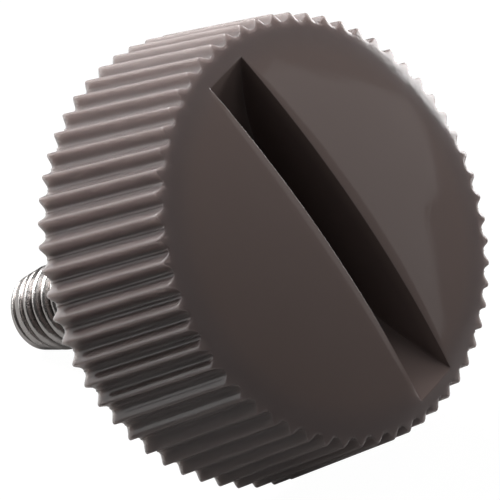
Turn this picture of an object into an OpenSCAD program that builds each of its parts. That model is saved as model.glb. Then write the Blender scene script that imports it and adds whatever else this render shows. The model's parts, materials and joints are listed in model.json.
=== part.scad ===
// Thumb screw: a moulded plastic head, knurled and slotted for a coin, on a threaded steel stud.
// The head and the stud are built on one axis, +Z towards the face, then laid down at rest:
// on two ridges of the head's back edge and on the stud's end, with the face to the front.

/* [Head] */
// Radius over the ridges at the back edge
head_r = 12.5; // [10:0.5:20]
// Height from the flat back to the top of the domed face
head_h = 10; // [9.6:0.1:14]
// Angle in degrees by which the side draws in towards the face
draft = 4.8; // [0.5:0.1:6]
// Radius of the face's dome
dome_r = 58; // [35:1:120]
// Radius of the edge between side and face
edge_r = 0.22; // [0.1:0.02:1]

/* [Knurl] */
// Number of grooves
grooves = 60; // [44:2:72]
// Depth of a groove at the back edge
groove_depth = 0.55; // [0.3:0.05:0.8]
// Radius at the bottom of a groove
groove_root_r = 0.38; // [0.1:0.02:0.44]

/* [Slot] */
// Width of the slot
slot_w = 3.2; // [1.6:0.1:4]
// Depth in the middle of the face
slot_depth = 4.9; // [3:0.1:5.2]
// Plastic left between each end of the slot and the tops of the ridges
slot_land = 1.4; // [1.2:0.1:3]
// Grooves from the line that the head rests on to the slot's line
slot_turn = 2; // [0:1:10]

/* [Stud] */
// Radius over the thread
stud_r = 2.5; // [2:0.5:4]
// Length that stands out of the head
stud_len = 15.7; // [10:0.1:30]
// Length of the tapered start of the thread
lead_len = 2.2; // [1:0.1:4]
// Radius lost over the tapered start
lead_drop = 0.34; // [0.1:0.02:0.6]
// Bevel round the stud's end
tip_bevel = 0.3; // [0.1:0.1:0.5]

/* [Anchor] */
// Radius of the neck between the thread and the buried hexagon, less than the thread's
neck_under = 0.26; // [0.1:0.02:0.5]
// How far the hexagon's flats stand out beyond the thread
anchor_lip = 1.5; // [1:0.1:2]
// Plastic between the head's back and the hexagon
back_cover = 1.2; // [0.8:0.1:1.6]
// Plastic between the hexagon and the slot's floor
slot_web = 1.1; // [0.6:0.1:1.6]
// Clearance all round the buried part of the stud
seat_gap = 0.02; // [0:0.01:0.05]
// Width of the bevel in the head's back, outside the thread, that lets the head seat flat
seat_bevel = 0.1; // [0.05:0.05:0.4]

/* [Hidden] */
$fn = 96;
over = 1;            // how far a cutter runs past what it cuts
crest_trim = 0.01;   // how far the blank stands out beyond the ridges, which only the grooves shape
edge_steps = 4;      // flats that stand for the rounded edge
root_steps = 6;      // flats that stand for a groove's round bottom

// The head's outline in half section: the side's sloping line, inset by a given amount, meets the
// dome, inset by the same amount. Gives [radius, height].
blank_r = head_r + crest_trim;
dome_z = head_h - dome_r;
function side_meets_dome(inset) =
  let (
    slope = tan(draft),
    foot = blank_r - inset / cos(draft),
    ball = dome_r - inset,
    b = foot * slope + dome_z,
    c = foot * foot + dome_z * dome_z - ball * ball,
    z = (b + sqrt(b * b - (1 + slope * slope) * c)) / (1 + slope * slope)
  )
  [foot - z * slope, z];

function dome_drop(r) = dome_r - sqrt(dome_r * dome_r - r * r);

corner = side_meets_dome(0);
edge_c = side_meets_dome(edge_r);
edge_top_a = atan2(edge_c[1] - dome_z, edge_c[0]);
edge_arc = [
  for (i = [0 : edge_steps])
    let (a = draft + (edge_top_a - draft) * i / edge_steps)
    edge_c + edge_r * [cos(a), sin(a)]
];
cap_z = edge_arc[edge_steps][1];

// A groove in cross section: two flanks from the ridges beside it, tangent to a round bottom
pitch_a = 360 / grooves;
flank_top = head_r * [sin(pitch_a / 2), cos(pitch_a / 2)];
root_c = [0, head_r - groove_depth + groove_root_r];
flank_v = flank_top - root_c;
flank_a = atan2(flank_v[1], flank_v[0]) - acos(groove_root_r / norm(flank_v));
root_arc = [
  for (i = [0 : root_steps])
    let (a = -90 + (flank_a + 90) * (2 * i / root_steps - 1))
    root_c + groove_root_r * [cos(a), sin(a)]
];
flank_dir = (flank_top - root_arc[root_steps]) / norm(flank_top - root_arc[root_steps]);
flank_end = flank_top + over * flank_dir;
// The grooves' bottoms and the ridges' tops slope towards one point, so the ridges stay even
groove_tilt = atan((head_r - groove_depth) * tan(draft) / head_r);
groove_start = over + head_r * tan(groove_tilt);

// The slot's floor is an arc through its middle and both its ends
slot_half = corner[0] - slot_land;
slot_sag = slot_depth - dome_drop(slot_half);
slot_arc_r = (slot_half * slot_half + slot_sag * slot_sag) / (2 * slot_sag);

lead_r = stud_r - lead_drop;
tip_r = lead_r - tip_bevel;
neck_r = stud_r - neck_under;
anchor_r = (stud_r + anchor_lip) / cos(30);
anchor_h = head_h - slot_depth - slot_web - back_cover;

// At rest, two ridges of the back edge and the first point of the stud to touch lie on the ground
rest_r = head_r * cos(pitch_a / 2);
tilt = min(
  atan((rest_r - stud_r) / (stud_len - lead_len)),
  atan((rest_r - lead_r) / (stud_len - tip_bevel)),
  atan((rest_r - tip_r) / stud_len)
);
front_reach = edge_c[0] * sin(tilt) + edge_c[1] * cos(tilt) + edge_r;
back_reach = stud_len * cos(tilt) + tip_r * sin(tilt);

module at_rest() {
  translate([0, (front_reach - back_reach) / 2, rest_r * cos(tilt)])
    rotate([90 - tilt, 0, 0])
      children();
}

module head_blank() {
  rotate_extrude() {
    polygon([[0, 0], [blank_r, 0], each edge_arc, [0, cap_z]]);
    intersection() {
      translate([0, dome_z]) circle(r = dome_r, $fn = 360);
      translate([0, cap_z]) square([blank_r, head_h]);
    }
  }
}

// Foreshortened across its tilt, so that its section at the back face is the one worked out above
module groove() {
  outline = [[-flank_end[0], flank_end[1]], each root_arc, flank_end];
  rotate([groove_tilt, 0, 0])
    translate([0, 0, -groove_start])
      linear_extrude(head_h + 2 * groove_start)
        polygon([for (p = outline) [p[0], p[1] * cos(groove_tilt)]]);
}

module slot() {
  rotate([0, 0, slot_turn * pitch_a])
    translate([0, 0, head_h - slot_depth + slot_arc_r])
      rotate([0, 90, 0])
        cylinder(r = slot_arc_r, h = slot_w, center = true, $fn = 180);
}

// The part of the stud that the head is moulded round, grown by a clearance
module buried_stud(gap = 0) {
  translate([0, 0, -over])
    cylinder(r = neck_r + gap, h = over + back_cover + anchor_h / 2);
  translate([0, 0, back_cover - gap])
    cylinder(r = anchor_r + gap / cos(30), h = anchor_h + 2 * gap, $fn = 6);
}

// A bevel round the stud in the head's back, from the neck's hole out past the thread
module seat_relief() {
  wide_r = stud_r + seat_bevel;
  deep = wide_r - neck_r - seat_gap;
  translate([0, 0, -over])
    cylinder(r1 = wide_r + over, r2 = wide_r - deep, h = over + deep);
}

module knob_head() {
  color([0.42, 0.38, 0.36])
    at_rest()
      difference() {
        head_blank();
        for (i = [0 : grooves - 1])
          rotate([0, 0, 180 + i * pitch_a]) groove();
        slot();
        buried_stud(seat_gap);
        seat_relief();
      }
}

module threaded_stud() {
  color([0.74, 0.73, 0.72])
    at_rest() {
      buried_stud();
      rotate([180, 0, 0])
        rotate_extrude()
          polygon([
            [0, 0],
            [stud_r, 0],
            [stud_r, stud_len - lead_len],
            [lead_r, stud_len - tip_bevel],
            [tip_r, stud_len],
            [0, stud_len]
          ]);
    }
}

knob_head();
threaded_stud();
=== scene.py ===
import bpy, math, json
import numpy as np
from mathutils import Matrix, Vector


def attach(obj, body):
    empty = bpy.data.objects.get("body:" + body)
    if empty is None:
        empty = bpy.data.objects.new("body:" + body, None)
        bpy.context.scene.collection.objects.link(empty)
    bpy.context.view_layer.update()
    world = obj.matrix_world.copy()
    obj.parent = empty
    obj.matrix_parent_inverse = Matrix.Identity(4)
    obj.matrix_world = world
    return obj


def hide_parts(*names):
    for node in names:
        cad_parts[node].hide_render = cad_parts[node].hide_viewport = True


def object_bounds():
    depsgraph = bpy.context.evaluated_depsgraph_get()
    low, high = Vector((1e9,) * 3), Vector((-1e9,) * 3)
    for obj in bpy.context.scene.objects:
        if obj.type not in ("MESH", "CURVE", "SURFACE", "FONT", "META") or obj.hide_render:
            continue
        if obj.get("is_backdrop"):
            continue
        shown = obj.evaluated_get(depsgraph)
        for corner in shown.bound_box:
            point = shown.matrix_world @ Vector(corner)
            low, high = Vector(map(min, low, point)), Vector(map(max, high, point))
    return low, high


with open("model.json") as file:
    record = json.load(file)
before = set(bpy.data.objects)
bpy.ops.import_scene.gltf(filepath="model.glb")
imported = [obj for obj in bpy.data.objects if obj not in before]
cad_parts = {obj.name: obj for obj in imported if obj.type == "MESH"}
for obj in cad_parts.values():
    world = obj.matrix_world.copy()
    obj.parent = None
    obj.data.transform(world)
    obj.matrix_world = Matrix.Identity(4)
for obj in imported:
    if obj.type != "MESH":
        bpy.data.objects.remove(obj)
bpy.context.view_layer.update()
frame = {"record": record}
print("stage: frame loaded")

mm = 0.001

# Where the screw lies. The stud's mount gives the axis and the middle of the head's back, so the
# surfaces below are worked out upright, face to +Z in millimetres, and laid down at the end.
mounts = {m["name"]: m for m in frame["record"]["mounts"]}
pin = mounts["stud_thread"]
toFace = -np.array(pin["axis"]) / np.linalg.norm(pin["axis"])
backMiddle = np.array(pin["pos_m"]) + toFace * pin["dims"]["length_mm"] * mm / 2
acrossRest = np.array([1.0, 0.0, 0.0])
upRest = np.cross(toFace, acrossRest)


def layDown(points):
    # the middle of the head's back + each number of the point along its own direction at rest
    p = np.asarray(points, float).reshape(-1, 3) * mm
    return backMiddle + p[:, :1] * acrossRest + p[:, 1:2] * upRest + p[:, 2:] * toFace


def gridQuads(index, wrap):
    # quads between neighbouring rows and columns of a table of vertex numbers
    a = np.concatenate([index, index[:, :1]], 1) if wrap else index
    return np.stack([a[:-1, :-1], a[:-1, 1:], a[1:, 1:], a[1:, :-1]], -1).reshape(-1, 4)


def makePiece(name, points, quads, fans=()):
    # One closed mesh. fans are (ring of vertex numbers, number of the point they meet in).
    # The sum of corner . (corner x corner) over all triangles is six times the volume, and less
    # than nothing when the mesh is inside out.
    tris = [np.stack([r, np.roll(r, -1), np.full(len(r), c)], -1) for r, c in fans]
    loops = np.concatenate([quads.ravel()] + [t.ravel() for t in tris])
    counts = np.concatenate([np.full(len(quads), 4)] + [np.full(len(t), 3) for t in tris])
    starts = np.concatenate([[0], np.cumsum(counts)[:-1]])
    v = np.asarray(points)
    allTris = np.concatenate([quads[:, [0, 1, 2]], quads[:, [0, 2, 3]]] + tris)
    a, b, c = (v[allTris[:, i]] for i in range(3))
    if np.einsum("ij,ij->", a, np.cross(b, c)) < 0:     # read each face backwards
        owner = np.repeat(np.arange(len(counts)), counts)
        place = np.arange(len(loops)) - starts[owner]
        loops = loops[starts[owner] + counts[owner] - 1 - place]
    mesh = bpy.data.meshes.new(name)
    mesh.vertices.add(len(v))
    mesh.vertices.foreach_set("co", layDown(v).astype(np.float32).ravel())
    mesh.loops.add(len(loops))
    mesh.loops.foreach_set("vertex_index", loops.astype(np.int32))
    mesh.polygons.add(len(counts))
    mesh.polygons.foreach_set("loop_start", starts.astype(np.int32))
    mesh.polygons.foreach_set("loop_total", counts.astype(np.int32))
    mesh.polygons.foreach_set("use_smooth", np.ones(len(counts), bool))
    mesh.update(calc_edges=True)
    mesh.validate()
    obj = bpy.data.objects.new(name, mesh)
    bpy.context.scene.collection.objects.link(obj)
    return obj


def numberPoints(piece, name, values):
    # one number for each point of a piece, which its finish reads by this name
    attribute = piece.data.attributes.new(name, "FLOAT", "POINT")
    attribute.data.foreach_set("value", values.astype(np.float32))


def bluntness(a, b, width):
    # a quarter of the width where a and b are equal, falling with the square of the share of the
    # width that is left between them, to nothing where they are a width apart
    return width / 4 * np.clip(1 - np.abs(a - b) / width, 0, 1) ** 2


def softLower(a, b, width):
    # the lower of a and b, blended smoothly where they are within width of each other
    return np.minimum(a, b) - bluntness(a, b, width)


head = {
    "radius": 12.5, "height": 10.0, "domeRadius": 58.0, "edgeRadius": 0.22,
    "draft": 4.8,           # degrees by which the side draws in towards the face
    "grooves": 60, "grooveDepth": 0.55, "grooveRoot": 0.38,
    "ridgeRound": 0.34,     # width over which a ridge's two flanks are rounded into one another
    "ridgeSoft": 0.02,      # width over which the ridges are blunted by the head's outline
    "endSoft": 0.12,        # the same where the grooves run out on the face
    "beadHigh": 0.08, "beadWide": 0.06,     # fine bead along the bottom of each groove
    "beadEven": 0.55, "beadUneven": 0.45,   # its height's steady share, and the share that wavers
    "beadWaveEach": (0.4, 1.3), "beadWaveAll": 1.7,     # radians per mm, by chance and for all
    "beadPhases": (0, 6.3), "beadSeed": 5,
    "slotWidth": 3.0, "slotDepth": 4.9, "slotLand": 1.4,
    "slotTurn": 12.0,       # degrees from the line that the head rests on
    "slotShift": -0.235,    # the slot lies a little off the middle, towards its lower end
    "slotAside": 0.1,       # and across, towards its right side
    "slotLip": 0.03, "slotFillet": 0.03, "slotEndLip": 0.02,
    "slotWallLeast": 0.03,  # the lip and fillet shrink where less wall is left between them
    "slotEndFade": 0.06,    # distance over which the long sides take on the form of the ends
    "seatRadius": 2.6, "seatDepth": 0.9,
    "wallShade": 3.0,       # how much sooner the painted shade darkens the slot's walls than its floor
    "thinFrom": 9.4, "thinOver": 1.4,   # radius where light starts to pass through, and by how
                                        # much more it passes in full
}

# Where the head's surface has its columns and rows of points
headGrid = {
    "halfGroove": [0, 0.05, 0.1, 0.16, 0.28, 0.42, 0.58, 0.74, 0.84, 0.92, 1.0],
    "lip": [0, 22.5, 45, 67.5, 90],         # degrees round the slot's lip, from the face
    "wallRows": 4,
    "fillet": [15, 40, 65, 90],             # degrees round the slot's fillet, to the floor
    "crowding": 0.85,       # how far the slot's points crowd towards its ends
    "faceRing": 10.95,      # radius at which the face's lines from the slot end
    "faceRows": 11, "faceLast": [0.97, 0.985, 1],   # shares of the way from the slot to the ring
    "domeRows": 11, "edgeRows": 12,
    "side": [0.93, 0.82, 0.7, 0.57, 0.44, 0.3, 0.16, 0.05, 0.012],  # shares of the edge's height
    "backHeights": [0.045, 0.015, 0.0], "backInsets": [0.013, 0.03, 0.08],  # its rounded back edge
    "backRows": 3,
    "hole": [0.5, 1.0],     # shares of the hole's depth
}

domeMiddle = head["height"] - head["domeRadius"]
draft = math.radians(head["draft"])
slope = math.tan(draft)
halfPitch = math.pi / head["grooves"]


def sideMeetsDome(inset):
    # where the side's sloping line and the dome's circle, both moved in by inset, cross
    foot = head["radius"] - inset / math.cos(draft)
    ball = head["domeRadius"] - inset
    b = foot * slope + domeMiddle
    c = foot ** 2 + domeMiddle ** 2 - ball ** 2
    z = (b + math.sqrt(b * b - (1 + slope ** 2) * c)) / (1 + slope ** 2)
    return foot - z * slope, z


def domeHeight(x, y):
    # a sphere's cap: middle + root(radius squared - distance from the axis squared)
    return domeMiddle + np.sqrt(head["domeRadius"] ** 2 - x * x - y * y)


slotHalf = sideMeetsDome(0)[0] - head["slotLand"]
slotSag = head["slotDepth"] - (head["height"] - float(domeHeight(slotHalf, 0.0)))
slotArc = (slotHalf ** 2 + slotSag ** 2) / (2 * slotSag)
slotArcMiddle = head["height"] - head["slotDepth"] + slotArc


def slotFloor(y):
    # the arc that a disc cutter leaves: its middle's height - root(arc squared - y squared)
    return slotArcMiddle - np.sqrt(slotArc ** 2 - (y - head["slotShift"]) ** 2)


def grooveReach(turn):
    # Distance from the axis to a groove's wall, seen at an angle from the groove's middle:
    # the near side of the root's circle, or the straight flank from it to the ridge, which is
    # rounded into the next groove's flank.
    ridge = head["radius"] + head["ridgeRound"] / 4
    top = ridge * np.array([math.sin(halfPitch), math.cos(halfPitch)])
    rootMiddle = head["radius"] - head["grooveDepth"] + head["grooveRoot"]
    away = top - [0, rootMiddle]
    touch = math.atan2(away[1], away[0]) - math.acos(head["grooveRoot"] / np.linalg.norm(away))
    tangent = np.array([math.cos(touch), math.sin(touch)]) * head["grooveRoot"] + [0, rootMiddle]
    along = (top - tangent) / np.linalg.norm(top - tangent)
    offAxis = tangent[0] * along[1] - tangent[1] * along[0]
    turn = np.abs(turn)
    flank, nextFlank = (offAxis / (np.sin(a) * along[1] - np.cos(a) * along[0])
                        for a in (turn, 2 * halfPitch - turn))
    across = np.clip(head["grooveRoot"] ** 2 - (rootMiddle * np.sin(turn)) ** 2, 0, None)
    root = rootMiddle * np.cos(turn) - np.sqrt(across)
    onRoot = turn < math.atan2(tangent[0], tangent[1])
    return softLower(np.where(onRoot, root, flank), nextFlank, head["ridgeRound"])


# Columns: twenty a groove, close together at its root and at the ridges beside it
halfStops = np.array(headGrid["halfGroove"])
cell = np.concatenate([halfStops, 2 - halfStops[-2:0:-1]])
perGroove = len(cell)
columns = head["grooves"] * perGroove
turns = ((np.arange(head["grooves"])[:, None] * 2 + cell) * halfPitch).ravel()
cellTurn = np.where(cell > 1, cell - 2, cell) * halfPitch
grooveWall = np.tile(grooveReach(cellTurn), head["grooves"])


def around(radius, height):
    # rows of points round the axis: radius * (cosine, sine) of each column's angle, and a height
    return np.stack([radius * np.cos(turns), radius * np.sin(turns), height], -1)


# The slot's outline takes one point from each column: two long sides, and two ends
endColumns = perGroove + perGroove // 2     # columns that meet each end of the slot
quarter = columns // 4
sideEnd = quarter - endColumns // 2
corners = [0, sideEnd, quarter + endColumns // 2, 3 * quarter - endColumns // 2,
           3 * quarter + endColumns // 2, columns]
cornerX = head["slotWidth"] / 2 * np.array([1, 1, -1, -1, 1, 1])
number = np.arange(columns)
outX = np.interp(number, corners, cornerX) + head["slotAside"]
share = np.interp(number, corners, [0, 1, 1, -1, -1, 0])    # of the way from the middle to an end
crowding = headGrid["crowding"]
stretch = crowding * np.sin(share * math.pi / 2) + (1 - crowding) * share
onEnd = np.abs(share) == 1

# Down the slot's wall: a quarter circle over the lip, a straight wall, and a quarter circle to
# the floor. At the ends the lip's line only leans outwards.
lipTurn = np.radians(headGrid["lip"])[:, None]
filletTurn = np.radians(headGrid["fillet"])[:, None]
straight = np.arange(1, headGrid["wallRows"] + 1)[:, None] / (headGrid["wallRows"] + 1)
wallRows = len(lipTurn) + len(straight) + len(filletTurn)
onLip = slice(0, len(lipTurn))
onStraight = slice(len(lipTurn), wallRows - len(filletTurn))
onFillet = slice(wallRows - len(filletTurn), wallRows)
down = np.linspace(0, 1, wallRows)[:, None]
fromEnd = slotHalf * (1 - np.abs(stretch))
endMix = np.where(onEnd, 1.0, np.exp(-(fromEnd / head["slotEndFade"]) ** 2))
rowY = slotHalf * stretch + head["slotShift"]
rowY = rowY + np.sign(stretch) * head["slotEndLip"] * (1 - 2 * down) * endMix
top = domeHeight(outX, rowY)
bottom = softLower(top, slotFloor(rowY), head["slotEndLip"])
room = head["slotLip"] + head["slotFillet"] + head["slotWallLeast"]
scale = np.clip((top - bottom) / room, 0, 1)
lip, fillet = head["slotLip"] * scale, head["slotFillet"] * scale
outward = np.concatenate([
    lip[onLip] * (1 - np.sin(lipTurn)),
    np.zeros((len(straight), columns)),
    -fillet[onFillet] * (1 - np.cos(filletTurn))])
height = np.concatenate([
    top[onLip] - lip[onLip] * (1 - np.cos(lipTurn)),
    (top - lip)[onStraight] * (1 - straight) + (bottom + fillet)[onStraight] * straight,
    bottom[onFillet] + fillet[onFillet] * (1 - np.sin(filletTurn))])
height = height * (1 - endMix) + bottom * endMix
wallX = outX + np.sign(outX) * outward * np.where(onEnd, 0, 1)
wall = np.stack([wallX, rowY, height], -1)[::-1]        # from the floor up

# The face: straight lines from the slot's lip to a circle, lifted onto the dome
ringXY = headGrid["faceRing"] * np.stack([np.cos(turns), np.sin(turns)], -1)
lipXY = wall[-1, :, :2]
faceStops = np.linspace(0, 1, headGrid["faceRows"] + 2)[1:-1]
out = np.append(faceStops, headGrid["faceLast"])[:, None, None]
faceXY = lipXY * (1 - out) + ringXY * out
faceR = np.hypot(faceXY[..., 0], faceXY[..., 1])
faceZ = domeHeight(faceR, 0)
faceTurn = (np.arctan2(faceXY[..., 1], faceXY[..., 0]) + halfPitch) % (2 * halfPitch) - halfPitch
faceWall = grooveReach(faceTurn) * (1 - faceZ * slope / head["radius"])
faceBlunt = bluntness(faceR, faceWall, head["endSoft"])
face = np.concatenate([faceXY * (1 - faceBlunt / faceR)[..., None],
                       (faceZ - faceBlunt)[..., None]], -1)

# The rim: the head's half outline, from that circle over the edge and down the side to the back
edgeR, edgeZ = sideMeetsDome(head["edgeRadius"])
edgeTop = math.atan2(edgeZ - domeMiddle, edgeR)
bend = np.linspace(edgeTop, draft, headGrid["edgeRows"])
domeEnd = edgeR + head["edgeRadius"] * math.cos(edgeTop)
domeR = np.linspace(headGrid["faceRing"], domeEnd, headGrid["domeRows"] + 2)[1:-1]
sideZ = np.array(headGrid["side"]) * edgeZ
backZ = np.array(headGrid["backHeights"])
outlineR = np.concatenate([
    domeR, edgeR + head["edgeRadius"] * np.cos(bend), head["radius"] - sideZ * slope,
    head["radius"] - np.array(headGrid["backInsets"])])
outlineZ = np.concatenate([
    domeHeight(domeR, 0), edgeZ + head["edgeRadius"] * np.sin(bend), sideZ, backZ])
# how far each row looks towards the face: 1 on the dome, 0 on the side
facing = np.concatenate([
    np.full(len(domeR), math.sin(edgeTop)), np.sin(bend), np.zeros(len(sideZ) + len(backZ))])

# A bead along each groove's bottom: a bell across it, whose height wavers with two sines
random = np.random.default_rng(head["beadSeed"])
phase = random.uniform(*head["beadPhases"], (2, head["grooves"]))
wave = random.uniform(*head["beadWaveEach"], head["grooves"])
waver = np.sin(phase[0] + outlineZ[:, None] * wave)
waver *= np.sin(phase[1] + outlineZ[:, None] * head["beadWaveAll"])
bell = np.exp(-(cellTurn * head["radius"] / head["beadWide"]) ** 2)
beadRows = head["beadEven"] + head["beadUneven"] * waver
beads = (beadRows[:, :, None] * head["beadHigh"] * bell).reshape(len(outlineZ), -1)

# A groove is as deep as its share of the head's radius at that height. Where its wall comes
# close to the outline, both are drawn in, which blunts the ridges and the grooves' ends.
wallR = grooveWall * (1 - outlineZ * slope / head["radius"])[:, None] + beads
soft = head["ridgeSoft"] + (head["endSoft"] - head["ridgeSoft"]) * facing[:, None]
blunt = bluntness(outlineR[:, None], wallR, soft)
rimR = np.minimum(outlineR[:, None], wallR) - blunt
rim = around(rimR, outlineZ[:, None] - blunt * facing[:, None])

# The back: flat from the rim's last row to the stud's hole, then down the hole
inward = np.linspace(0, 1, headGrid["backRows"] + 1)[1:, None]
backR = rimR[-1] * (1 - inward) + head["seatRadius"] * inward
back = around(backR, np.zeros_like(backR))
holeDepths = np.array(headGrid["hole"])[:, None, None] * head["seatDepth"]
hole = back[-1:] + np.array([0, 0, 1.0]) * holeDepths

rings = np.concatenate([wall, face, rim, back, hole])
ringIndex = np.arange(len(rings) * columns).reshape(len(rings), columns)

# The slot's floor: lines across it between the lowest points of its two walls
rightSide = np.arange(-sideEnd, sideEnd + 1) % columns
leftSide = (2 * quarter - np.arange(-sideEnd, sideEnd + 1)) % columns
part = np.linspace(0, 1, endColumns + 1)[1:-1, None]
low = wall[0]
innerX = low[rightSide, 0] * (1 - part) + low[leftSide, 0] * part
innerY = low[rightSide, 1] * (1 - part) + low[leftSide, 1] * part
innerZ = softLower(domeHeight(innerX, innerY), slotFloor(innerY), head["slotEndLip"])
inner = np.stack([innerX, innerY, innerZ], -1)[:, 1:-1]
innerIndex = ringIndex.size + np.arange(inner.shape[0] * inner.shape[1]).reshape(inner.shape[:2])
floorIndex = np.empty((endColumns + 1, len(rightSide)), int)
floorIndex[0], floorIndex[-1] = rightSide, leftSide
floorIndex[1:-1, 1:-1] = innerIndex
floorIndex[:, -1] = np.arange(sideEnd, sideEnd + endColumns + 1)
floorIndex[:, 0] = (columns - sideEnd - np.arange(endColumns + 1)) % columns

points = np.concatenate([rings.reshape(-1, 3), inner.reshape(-1, 3), [[0, 0, head["seatDepth"]]]])
turnSlot = math.radians(head["slotTurn"])
points[:, :2] = points[:, :2] @ np.array([[math.cos(turnSlot), math.sin(turnSlot)],
                                          [-math.sin(turnSlot), math.cos(turnSlot)]])
quads = np.concatenate([gridQuads(ringIndex, True), gridQuads(floorIndex, False)[:, ::-1]])
headPiece = makePiece("knurled_head", points, quads, [(ringIndex[-1], len(points) - 1)])

# under: how far each point of the slot lies under the dome, more on the walls, where the painted
# shade darkens sooner
wallPoints = np.arange(wallRows * columns)
slotPoints = np.concatenate([wallPoints, innerIndex.ravel()])
slotDome = domeHeight(points[slotPoints, 0], points[slotPoints, 1])
under = np.zeros(len(points))
under[slotPoints] = slotDome - points[slotPoints, 2]
under[wallPoints] *= head["wallShade"]
numberPoints(headPiece, "under", under)
# thin: 1 in the ridges, where light passes through, and less and less towards the face's middle
fromAxis = np.hypot(points[:, 0], points[:, 1])
thin = np.clip((fromAxis - head["thinFrom"]) / head["thinOver"], 0, 1)
thin[slotPoints] = 0
numberPoints(headPiece, "thin", thin)
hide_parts("knob_head")
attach(headPiece, "root")
print("stage: head made,", len(quads), "quads")

stud = {
    "radius": 2.5, "root": 2.01, "pitch": 0.8, "length": 15.7,
    "leadLength": 2.2, "leadDrop": 0.34, "bevel": 0.3,
    "leadSoft": 0.05,       # width over which the crests are blunted by the stud's outline
    "buried": 0.8,          # how far the thread runs on into the head
    "crest": 0.3,           # share of the pitch that is the thread's crest
    "crestRound": 0.24,     # width over which the crest is rounded into its flanks
    "startTurn": 268.0,     # degrees round at which the thread begins
    "plainEnd": 0.45,       # length at the stud's end that has no thread
    "plainFade": 0.2,       # length over which the thread's grooves fill up there
    "rowsPerTurn": 24, "columns": 96,
    "tipRings": [0.8, 0.5, 0.2],            # shares of the tip's radius
}

turnsLong = (stud["length"] + stud["buried"]) / stud["pitch"]
threadEnd = stud["length"] - stud["bevel"]
z = np.linspace(-stud["buried"], threadEnd, int(turnsLong * stud["rowsPerTurn"]))
z = np.append(z, stud["length"])
angle = np.linspace(0, 2 * math.pi, stud["columns"], endpoint=False)
# A helix in a table of height and angle: how far through a pitch each point is, folded into
# a ridge that rises and falls at 60 degrees, with a rounded top
through = (z[:, None] / stud["pitch"] + angle / (2 * math.pi) + stud["startTurn"] / 360) % 1
fold = 1 - np.abs(2 * through - 1)      # 0 at the root, 1 at the crest
rise = (stud["radius"] - stud["root"]) * fold / (1 - stud["crest"])
threadR = softLower(stud["root"] + rise, stud["radius"], stud["crestRound"])
fill = np.clip((z - stud["length"] + stud["plainEnd"]) / stud["plainFade"], 0, 1)[:, None]
threadR = np.maximum(threadR, threadR * (1 - fill) + stud["radius"] * fill)
# The outline: a cylinder, then a line that loses leadDrop over the lead, then the bevel
leadShare = (z - stud["length"] + stud["leadLength"]) / (stud["leadLength"] - stud["bevel"])
cone = stud["radius"] - stud["leadDrop"] * np.clip(leadShare, 0, 1)
cone[-1] = stud["radius"] - stud["leadDrop"] - stud["bevel"]
cone = cone[:, None]
studR = softLower(threadR, cone, stud["leadSoft"])
studR[-1] = np.minimum(studR[-1], cone[-1])
studRings = np.stack([studR * np.cos(angle), studR * np.sin(angle),
                      np.broadcast_to(-z[:, None], studR.shape)], -1)
shrink = np.array(stud["tipRings"])[:, None, None]
studRings = np.concatenate([studRings, studRings[-1] * (shrink * [1, 1, 0] + [0, 0, 1])])
studIndex = np.arange(len(studRings) * stud["columns"]).reshape(len(studRings), -1)
studPoints = np.concatenate([
    studRings.reshape(-1, 3), [[0, 0, -stud["length"]], [0, 0, stud["buried"]]]])
studPiece = makePiece(
    "threaded_steel_stud", studPoints, gridQuads(studIndex, True),
    [(studIndex[-1], len(studPoints) - 2), (studIndex[0][::-1], len(studPoints) - 1)])

# above: how far each point stands above the thread's root, as a share of its depth
above = np.ones(len(studPoints))
threadDepth = np.minimum(stud["radius"], cone) - stud["root"]
above[:studR.size] = np.clip((studR - stud["root"]) / threadDepth, 0, 1).ravel()
numberPoints(studPiece, "above", above)
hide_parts("threaded_stud")
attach(studPiece, "root")
print("stage: stud made")


def newMaterial(name):
    # a material, and the tree that holds its nodes and links
    material = bpy.data.materials.new(name)
    material.use_nodes = True
    return material, material.node_tree


def noise(tree, place, scale, detail):
    # cloudy noise between 0 and 1 in the piece's own space, scale clouds to a metre
    cloud = tree.nodes.new("ShaderNodeTexNoise")
    cloud.inputs["Scale"].default_value = scale
    cloud.inputs["Detail"].default_value = detail
    tree.links.new(place, cloud.inputs["Vector"])
    return cloud.outputs["Fac"]


def readPoints(tree, name):
    # the number that numberPoints gave to each point
    attribute = tree.nodes.new("ShaderNodeAttribute")
    attribute.attribute_name = name
    return attribute.outputs["Fac"]


def ranged(tree, value, fromRange, toRange):
    # value carried from one range to the other in a straight line, and held at its ends
    reach = tree.nodes.new("ShaderNodeMapRange")
    reach.inputs["From Min"].default_value, reach.inputs["From Max"].default_value = fromRange
    reach.inputs["To Min"].default_value, reach.inputs["To Max"].default_value = toRange
    tree.links.new(value, reach.inputs["Value"])
    return reach.outputs["Result"]


def colourMix(tree, share, first, second):
    # first * (1 - share) + second * share, where each is a colour or another node's output
    mix = tree.nodes.new("ShaderNodeMix")
    mix.data_type = "RGBA"
    tree.links.new(share, mix.inputs["Factor"])
    for socket, colour in ((mix.inputs["A"], first), (mix.inputs["B"], second)):
        if isinstance(colour, tuple):
            socket.default_value = colour
        else:
            tree.links.new(colour, socket)
    return mix.outputs["Result"]


def roughAndBumpy(tree, place, finish):
    # roughness wavers with one noise, and a finer one raises and lowers the surface
    shader = tree.nodes["Principled BSDF"]
    grain = noise(tree, place, finish["grainScale"], detail=3)
    tree.links.new(ranged(tree, grain, (0, 1), finish["rough"]), shader.inputs["Roughness"])
    bump = tree.nodes.new("ShaderNodeBump")
    bump.inputs["Strength"].default_value = finish["bump"]
    bump.inputs["Distance"].default_value = finish["bumpHigh"]
    fine = noise(tree, place, finish["bumpScale"], finish["bumpDetail"])
    tree.links.new(fine, bump.inputs["Height"])
    tree.links.new(bump.outputs["Normal"], shader.inputs["Normal"])


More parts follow.
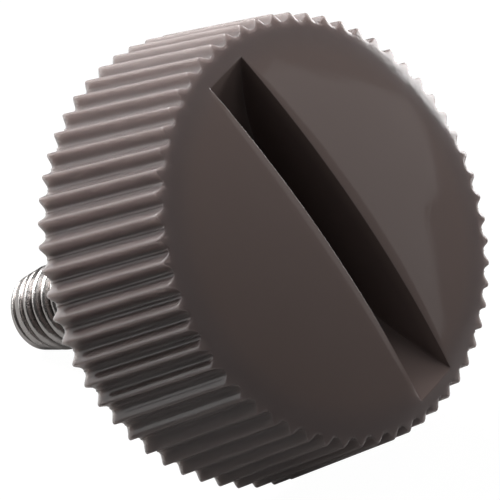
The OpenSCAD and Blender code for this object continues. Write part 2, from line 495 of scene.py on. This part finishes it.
plastic = {
    "colour": (0.207, 0.161, 0.150, 1), "cloudColour": (0.188, 0.143, 0.131, 1), "cloudScale": 160,
    "ridgeColour": (0.198, 0.163, 0.158, 1), "slotShadeColour": (0.160, 0.124, 0.116, 1),
    "slotUnder": (0.6, 2.5),    # how far under the dome the slot's painted shade begins, and is full
    "rough": (0.05, 0.08), "grainScale": 900,
    "bump": 0.03, "bumpHigh": 0.1 * mm, "bumpScale": 2600, "bumpDetail": 2,
    "specular": 0.5,
    "bleedColour": (1.0, 0.96, 0.93), "bleedReach": 2.4 * mm,   # how light passes into the ridges
}


def mouldedPlastic():
    # grey-brown, faintly clouded, greyer and translucent in the ridges, with painted shade
    # darkening it down in the slot
    material, tree = newMaterial("mouldedGreyBrown")
    place = tree.nodes.new("ShaderNodeTexCoord").outputs["Object"]
    cloud = noise(tree, place, plastic["cloudScale"], detail=3)
    thin = readPoints(tree, "thin")
    under = ranged(tree, readPoints(tree, "under"), plastic["slotUnder"], (0, 1))
    colour = colourMix(tree, cloud, plastic["colour"], plastic["cloudColour"])
    colour = colourMix(tree, thin, colour, plastic["ridgeColour"])
    # painted shade: the deeper a point of the slot lies under the dome, the darker its colour
    colour = colourMix(tree, under, colour, plastic["slotShadeColour"])
    shader = tree.nodes["Principled BSDF"]
    tree.links.new(colour, shader.inputs["Base Color"])
    tree.links.new(thin, shader.inputs["Subsurface Weight"])
    shader.inputs["Subsurface Radius"].default_value = plastic["bleedColour"]
    shader.inputs["Subsurface Scale"].default_value = plastic["bleedReach"]
    shader.inputs["Specular IOR Level"].default_value = plastic["specular"]
    roughAndBumpy(tree, place, plastic)
    return material


steel = {
    "colour": (0.76, 0.72, 0.70, 1), "cloudColour": (0.86, 0.82, 0.80, 1), "cloudScale": 700,
    "rootShadeColour": (0.06, 0.044, 0.04, 1),
    "rootShares": (0.3, 0.8),   # shares of the thread's depth over which the painted shade in the roots gives way to bright steel
    "rough": (0.2, 0.32), "grainScale": 1800,
    "bump": 0.25, "bumpHigh": 0.1 * mm, "bumpScale": 2200, "bumpDetail": 3,
}


def platedSteel():
    # bright, faintly clouded, and with painted shade darkening the thread's roots
    material, tree = newMaterial("brightPlatedSteel")
    place = tree.nodes.new("ShaderNodeTexCoord").outputs["Object"]
    cloud = noise(tree, place, steel["cloudScale"], detail=3)
    bright = ranged(tree, readPoints(tree, "above"), steel["rootShares"], (0, 1))
    colour = colourMix(tree, cloud, steel["colour"], steel["cloudColour"])
    # painted shade: near black down in the thread's roots, full colour towards the crests
    colour = colourMix(tree, bright, steel["rootShadeColour"], colour)
    shader = tree.nodes["Principled BSDF"]
    tree.links.new(colour, shader.inputs["Base Color"])
    shader.inputs["Metallic"].default_value = 1.0
    roughAndBumpy(tree, place, steel)
    return material


headPiece.data.materials.append(mouldedPlastic())
studPiece.data.materials.append(platedSteel())
print("stage: finishes set")

# A pale floor and a pale arc of backdrop behind the screw. The shares say how much of the white
# glow is mixed into the matt paint for the camera, and for reflections.
stageSet = {
    "half": 1.2, "colour": (0.17, 0.167, 0.164, 1), "rough": 0.9, "glow": 1.31,
    "floorShares": (0.75, 0.03), "backdropShares": (1.0, 1.0),
    "backdropFrom": 150, "backdropTo": 225, "backdropAway": 1.1, "backdropHigh": 0.65,
    "backdropPanels": 12,
    "aim": 0.012,           # height on the screw at which the lamps and the card point
}


def towardsBearing(bearing, height):
    # The direction (sin b cos h, -cos b cos h, sin h): bearing b is 0 in front of the screw and
    # 90 on its right, height h is above level, both in degrees
    b, h = np.broadcast_arrays(np.radians(bearing), np.radians(height))
    return np.stack([np.sin(b) * np.cos(h), -np.cos(b) * np.cos(h), np.sin(h)], -1)


def scalar(tree, operation, *values):
    # a Math node on values that are numbers or other nodes' outputs
    reckon = tree.nodes.new("ShaderNodeMath")
    reckon.operation = operation
    for socket, value in zip(reckon.inputs, values):
        if isinstance(value, float):
            socket.default_value = value
        else:
            tree.links.new(value, socket)
    return reckon.outputs[0]


def palePaint(name, shares):
    # Pale and matt, keeps the shadow; what the camera and reflections see of it is lifted to white
    material, tree = newMaterial(name)
    matt = tree.nodes["Principled BSDF"]
    matt.inputs["Base Color"].default_value = stageSet["colour"]
    matt.inputs["Roughness"].default_value = stageSet["rough"]
    glow = tree.nodes.new("ShaderNodeEmission")
    glow.inputs["Strength"].default_value = stageSet["glow"]
    rays = tree.nodes.new("ShaderNodeLightPath").outputs
    mirrored = scalar(tree, "MAXIMUM", rays["Is Glossy Ray"], rays["Is Transmission Ray"])
    mirroredShare = scalar(tree, "MULTIPLY", mirrored, shares[1])
    share = scalar(tree, "MULTIPLY_ADD", rays["Is Camera Ray"], shares[0], mirroredShare)
    mix = tree.nodes.new("ShaderNodeMixShader")
    tree.links.new(share, mix.inputs["Fac"])
    tree.links.new(matt.outputs[0], mix.inputs[1])
    tree.links.new(glow.outputs[0], mix.inputs[2])
    tree.links.new(mix.outputs[0], tree.nodes["Material Output"].inputs["Surface"])
    return material


def stagePiece(name, points, faces, material):
    # a piece of the studio, which isn't part of the screw
    mesh = bpy.data.meshes.new(name)
    mesh.from_pydata(np.asarray(points).tolist(), [], faces)
    mesh.materials.append(material)
    piece = bpy.data.objects.new(name, mesh)
    bpy.context.scene.collection.objects.link(piece)
    piece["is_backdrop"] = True
    return piece


side = stageSet["half"]
stagePiece("floor", [(-side, -side, 0), (side, -side, 0), (side, side, 0), (-side, side, 0)],
           [(0, 1, 2, 3)], palePaint("paleFloor", stageSet["floorShares"]))
panels = stageSet["backdropPanels"]
arcTurns = np.linspace(stageSet["backdropFrom"], stageSet["backdropTo"], panels + 1)
arc = towardsBearing(arcTurns, 0) * stageSet["backdropAway"]
stagePiece("backdrop", np.concatenate([arc, arc + [0, 0, stageSet["backdropHigh"]]]),
           [(i, i + 1, i + panels + 2, i + panels + 1) for i in range(panels)],
           palePaint("paleBackdrop", stageSet["backdropShares"]))

# A dim card that only the gloss shows: its right-hand edge is the faint bent line across the face.
# Its outline is a list of bearings and heights.
card = {
    "outline": [(46, 33), (53.6, 30), (57.7, 23.1), (60.6, 19.2), (63.7, 13.3), (62.2, 10.3),
                (59.3, 8), (57.5, 8), (55.3, 8.8), (54.4, 7.5), (52.6, 5.5), (50.8, 3.3),
                (49.5, 1), (46, 1)],
    "away": 0.5, "glow": 0.36,
}
cardMaterial, cardTree = newMaterial("dimCard")
cardShader = cardTree.nodes["Principled BSDF"]
cardShader.inputs["Base Color"].default_value = (0, 0, 0, 1)
cardShader.inputs["Emission Color"].default_value = (1, 1, 1, 1)
cardShader.inputs["Emission Strength"].default_value = card["glow"]
cardPoints = towardsBearing(*np.array(card["outline"], float).T) * card["away"]
cardPoints += [0, 0, stageSet["aim"]]
cardPiece = stagePiece("card", cardPoints, [tuple(range(len(cardPoints)))], cardMaterial)
cardPiece.visible_camera = cardPiece.visible_diffuse = cardPiece.visible_shadow = False

# Square soft lamps: where they hang in degrees, metres away, metres wide, and watts
lamps = {
    "key": {"bearing": 184, "height": 52, "away": 0.5, "size": 0.36, "power": 4.35},
    "right": {"bearing": 80, "height": 9, "away": 0.5, "size": 0.25, "power": 1.75},
    "left": {"bearing": 208, "height": 32, "away": 0.5, "size": 0.25, "power": 0.15},
    "front": {"bearing": 34, "height": 68, "away": 0.5, "size": 0.25, "power": 0.4},
}
for name, spec in lamps.items():
    data = bpy.data.lights.new(name, "AREA")
    data.shape = "SQUARE"
    data.size = spec["size"]
    data.energy = spec["power"]
    lamp = bpy.data.objects.new(name, data)
    towards = Vector(towardsBearing(spec["bearing"], spec["height"]))
    lamp.location = towards * spec["away"] + Vector((0, 0, stageSet["aim"]))
    lamp.rotation_mode = "QUATERNION"
    lamp.rotation_quaternion = towards.to_track_quat("Z", "Y")
    bpy.context.scene.collection.objects.link(lamp)

# The world: a little light all round, and white where the camera sees past the stage
sky = {"light": 0.02, "seen": 1.0}
world = bpy.data.worlds.new("studio")
bpy.context.scene.world = world
world.use_nodes = True
skyNodes, skyLinks = world.node_tree.nodes, world.node_tree.links
skyLight, skySeen = skyNodes["Background"], skyNodes.new("ShaderNodeBackground")
for background, strength in ((skyLight, sky["light"]), (skySeen, sky["seen"])):
    background.inputs["Color"].default_value = (1, 1, 1, 1)
    background.inputs["Strength"].default_value = strength
skyMix = skyNodes.new("ShaderNodeMixShader")
skyLinks.new(skyNodes.new("ShaderNodeLightPath").outputs["Is Camera Ray"], skyMix.inputs["Fac"])
skyLinks.new(skyLight.outputs[0], skyMix.inputs[1])
skyLinks.new(skySeen.outputs[0], skyMix.inputs[2])
skyLinks.new(skyMix.outputs[0], skyNodes["World Output"].inputs["Surface"])

view = {
    "place": (-0.226803, -0.187416, 0.192978), "turn": (58.2559, -0.6719, -50.3615),
    "lens": 462.2, "sensor": 36, "clip": (0.01, 10),
}
cameraData = bpy.data.cameras.new("camera")
cameraData.lens = view["lens"]
cameraData.sensor_width = view["sensor"]
cameraData.clip_start, cameraData.clip_end = view["clip"]
camera = bpy.data.objects.new("camera", cameraData)
camera.location = view["place"]
camera.rotation_euler = [math.radians(a) for a in view["turn"]]
bpy.context.scene.collection.objects.link(camera)
bpy.context.scene.camera = camera
bpy.context.scene.view_settings.view_transform = "Standard"
print("stage: floor, lamps and camera set")

low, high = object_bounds()
